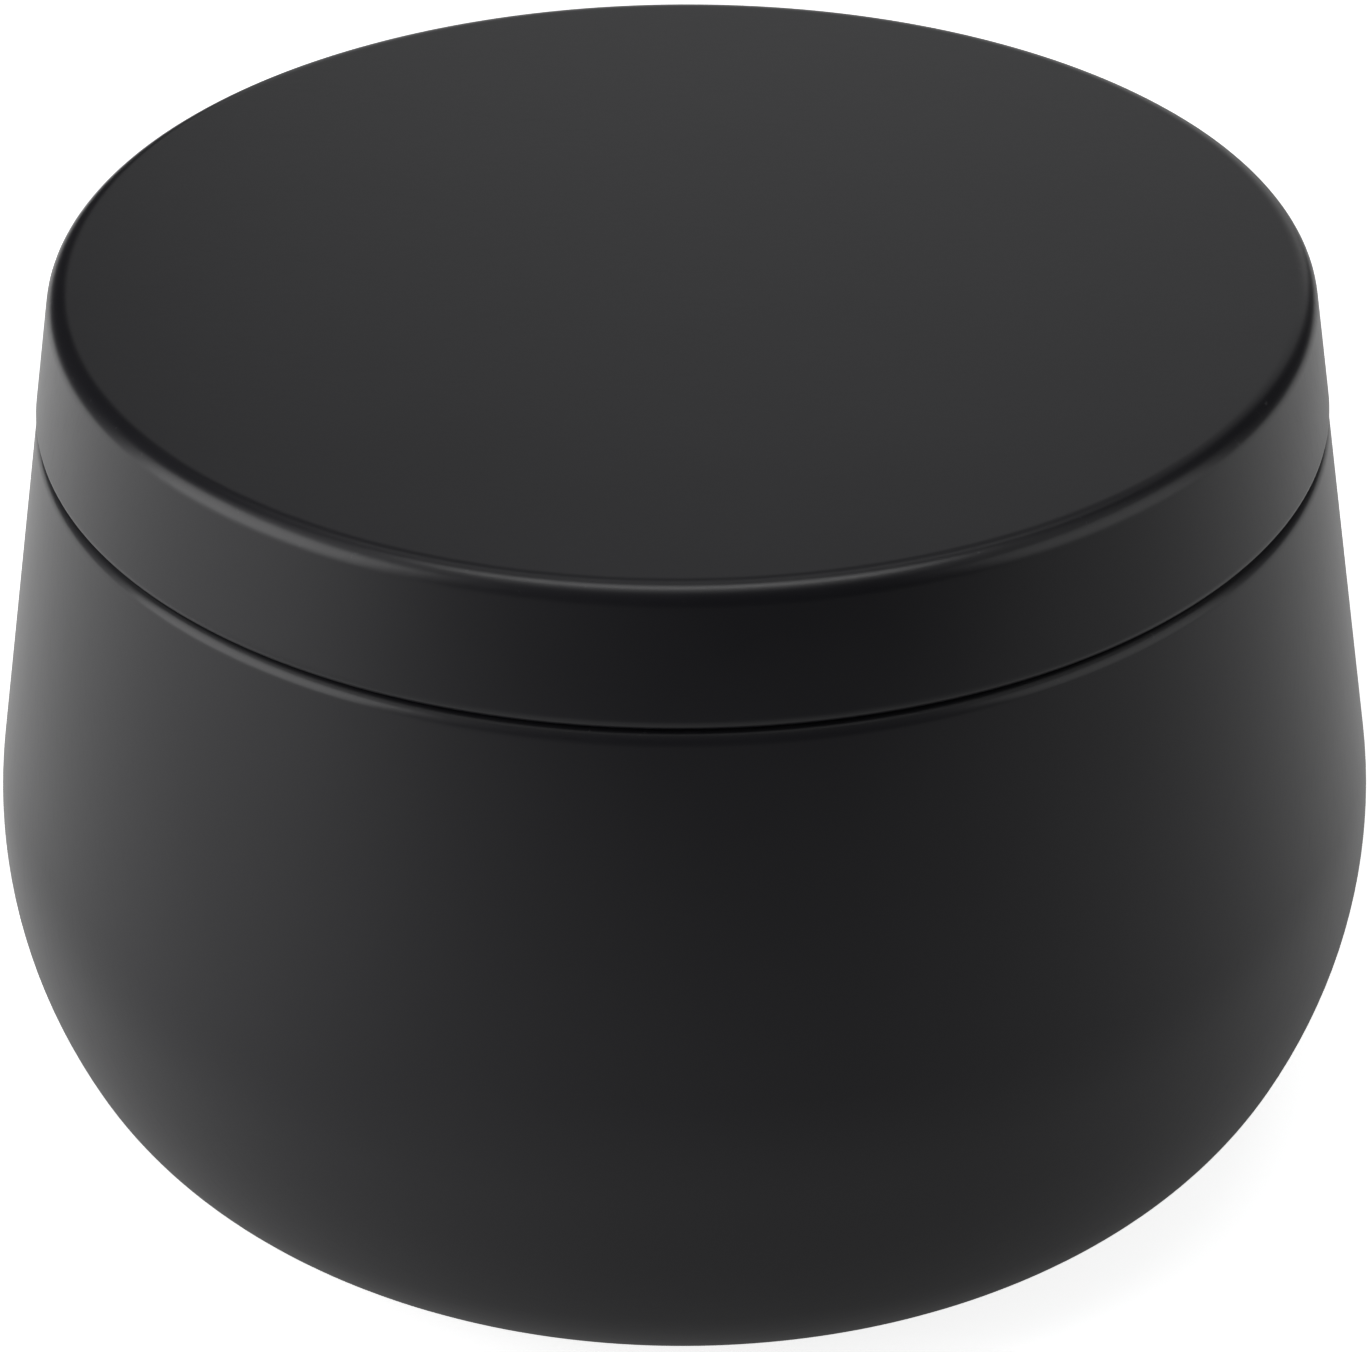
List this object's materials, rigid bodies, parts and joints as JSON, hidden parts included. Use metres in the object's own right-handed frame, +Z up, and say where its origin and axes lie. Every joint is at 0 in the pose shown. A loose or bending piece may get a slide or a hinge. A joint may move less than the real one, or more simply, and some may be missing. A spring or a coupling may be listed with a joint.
{
  "type": "candle tin",
  "caption": "Round-bellied sheet-metal candle tin with a flush slip-on lid, a curled mouth and a recessed bottom, coated black outside and bare metal inside.",
  "frame": {"origin": "centre of the plane that the tin stands on", "axes": "+Z up along the axis of revolution, from the standing ring to the lid's top; the tin is round, so X and Y are any two level directions"},
  "size_m": [0.077, 0.077, 0.05],
  "materials": {
    "body_coating": "satin black coating on the outside of tinplate, bare bright tinplate inside",
    "lid_coating": "satin black coating on the outside of tinplate, bare bright tinplate inside"
  },
  "bodies": {
    "tin": {"tin_body": "body_coating"},
    "lid": {"lid": "lid_coating"}
  },
  "joints": [
    {"name": "lid_lift", "type": "slide", "parent": "tin", "child": "lid", "axis": [0, 0, 1], "range_m": [0, 0.06]}
  ]
}
